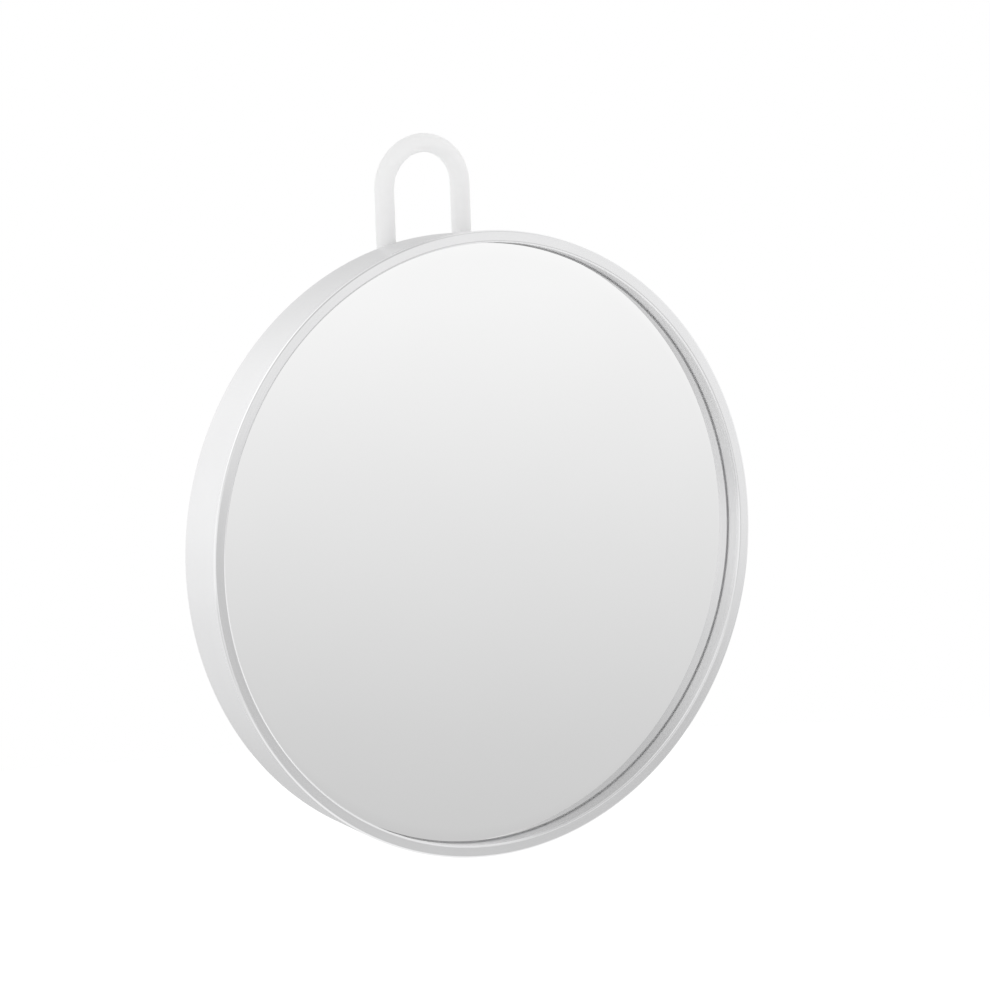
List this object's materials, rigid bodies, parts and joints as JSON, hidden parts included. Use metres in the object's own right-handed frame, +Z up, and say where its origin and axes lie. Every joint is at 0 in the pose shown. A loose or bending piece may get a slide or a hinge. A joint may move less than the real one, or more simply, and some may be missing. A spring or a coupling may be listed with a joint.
{
  "type": "pocket magnifying mirror",
  "caption": "Round pocket magnifying mirror: a concave glass set back in a slim tapered metal frame, with a soft silicone loop behind the top edge to hang it by.",
  "frame": {"origin": "the hook's seat, at the inside top of the hanging loop, in the middle of the cord's depth", "axes": "+Z up; the glass faces -Y; +X is to the right of someone who looks at the glass"},
  "size_m": [0.09, 0.015, 0.1034],
  "materials": {
    "satin_metal": "pale satin with faint circular turning marks",
    "silvered_glass": "polished concave mirror with a ground edge",
    "gasket_rubber": "matt grey rubber",
    "foam_tape": "closed-cell foam tape",
    "tray_plastic": "moulded, fine even grain",
    "cover_metal": "pale satin with a circular spun grain",
    "screw_steel": "bright turned steel",
    "milky_silicone": "soft translucent milky silicone",
    "pad_silicone": "soft translucent silicone"
  },
  "bodies": {
    "mirror": {"frame_ring": "satin_metal", "mirror_glass": "silvered_glass", "glass_gasket": "gasket_rubber", "foam_tape_ring": "foam_tape", "inner_tray": "tray_plastic", "back_cover": "cover_metal", "cover_screw_1": "screw_steel", "cover_screw_2": "screw_steel", "cover_screw_3": "screw_steel", "cover_screw_4": "screw_steel", "wall_pad_left": "pad_silicone", "wall_pad_right": "pad_silicone", "wall_pad_bottom": "pad_silicone", "loop_anchor_left": "milky_silicone", "loop_anchor_right": "milky_silicone", "loop_washer_left": "screw_steel", "loop_washer_right": "screw_steel"},
    "loop": {"hanging_loop": "milky_silicone"}
  },
  "joints": [
    {"name": "loop_flex", "type": "hinge", "parent": "mirror", "child": "loop", "pos_m": [0, 0, -0.0125], "axis": [-1, 0, 0], "range_deg": [-40, 90], "stiffness_Nm_per_rad": 0.0026}
  ]
}
